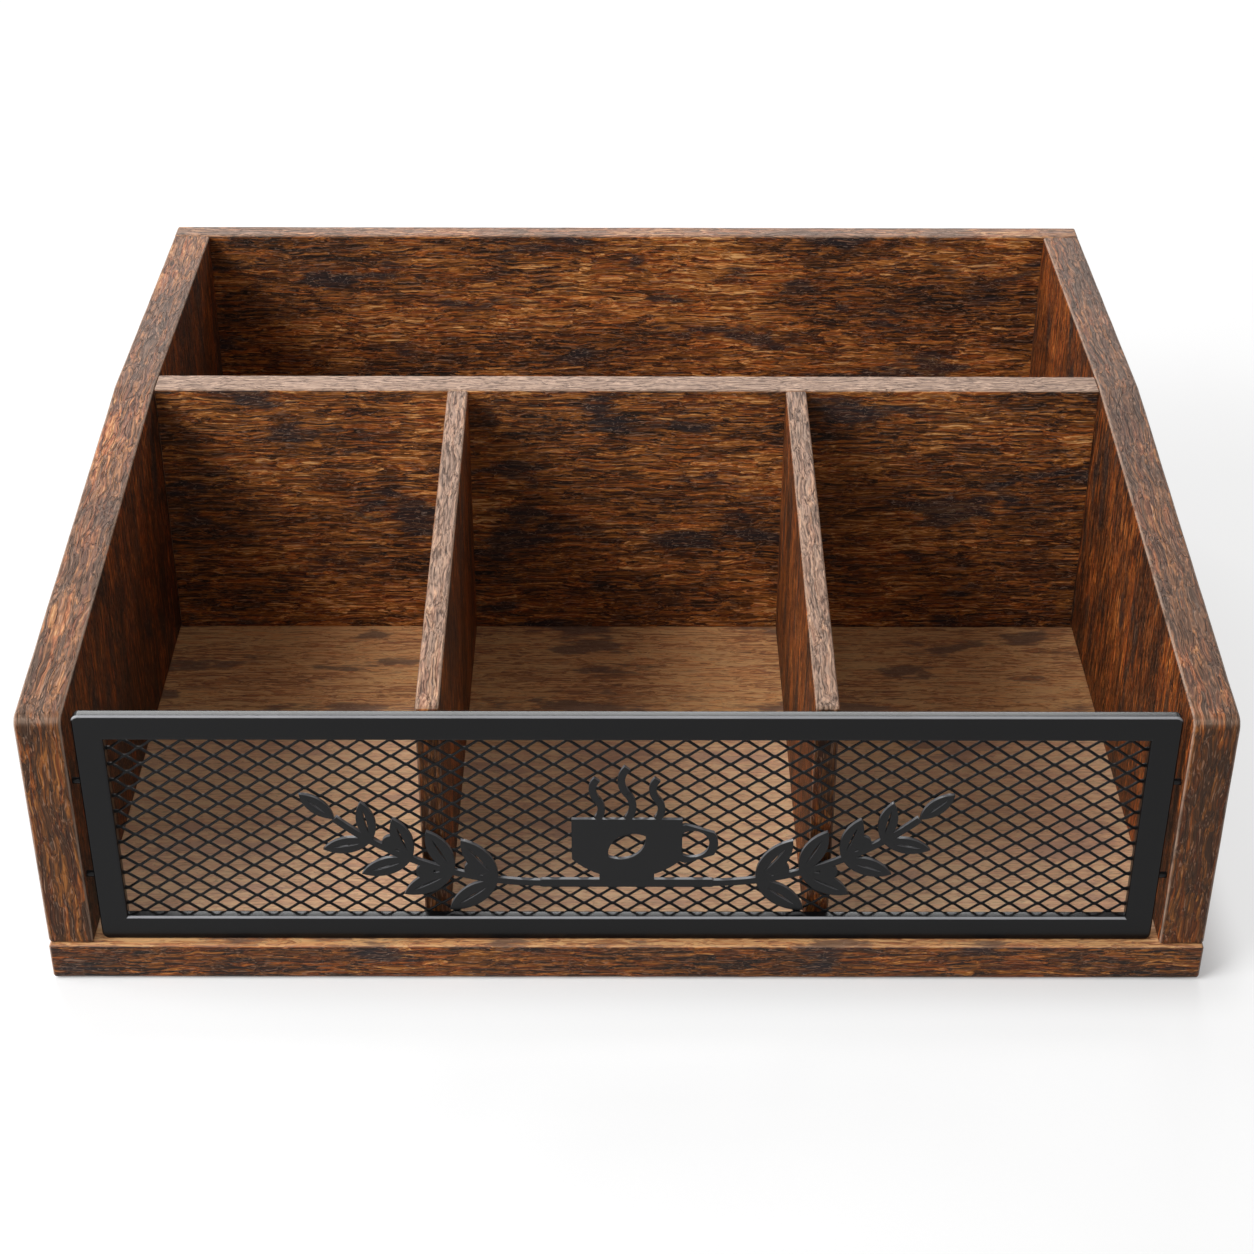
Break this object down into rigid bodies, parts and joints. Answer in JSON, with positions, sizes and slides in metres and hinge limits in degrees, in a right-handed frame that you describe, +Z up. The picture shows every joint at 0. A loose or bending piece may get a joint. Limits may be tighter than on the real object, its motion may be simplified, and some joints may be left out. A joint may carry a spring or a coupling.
{
  "type": "counter-top organizer",
  "caption": "Wood counter-top organizer for coffee supplies: long rear compartment, open-top front compartments and a black framed mesh front.",
  "frame": {"origin": "middle of the underside, on the surface that it stands on", "axes": "+X to the object's right as seen from its mesh front, +Y towards the back panel, +Z up"},
  "size_m": [0.32, 0.29, 0.101],
  "materials": {
    "dark_wood": "satin, dark brown rustic grain with orange-brown streaks",
    "divider_wood": "satin, dark brown rustic grain",
    "black_frame": "satin black powder coat",
    "black_mesh": "satin black powder coat",
    "black_ornament": "satin black powder coat",
    "plain_steel": "zinc plated",
    "pale_wood": "bare beech"
  },
  "bodies": {
    "root": {"base_board": "dark_wood", "left_side_panel": "dark_wood", "right_side_panel": "dark_wood", "back_panel": "dark_wood", "cross_divider": "dark_wood", "left_divider": "divider_wood", "right_divider": "divider_wood", "frame_top_rail": "black_frame", "frame_bottom_rail": "black_frame", "frame_left_stile": "black_frame", "frame_right_stile": "black_frame", "mesh_panel": "black_mesh", "front_ornament": "black_ornament", "frame_pins": "black_frame", "side_base_screws": "plain_steel", "cross_base_screws": "plain_steel", "divider_base_screws": "plain_steel", "back_base_screws": "plain_steel", "back_side_screws": "plain_steel", "cross_dowels": "pale_wood", "divider_dowels": "pale_wood"}
  },
  "joints": []
}
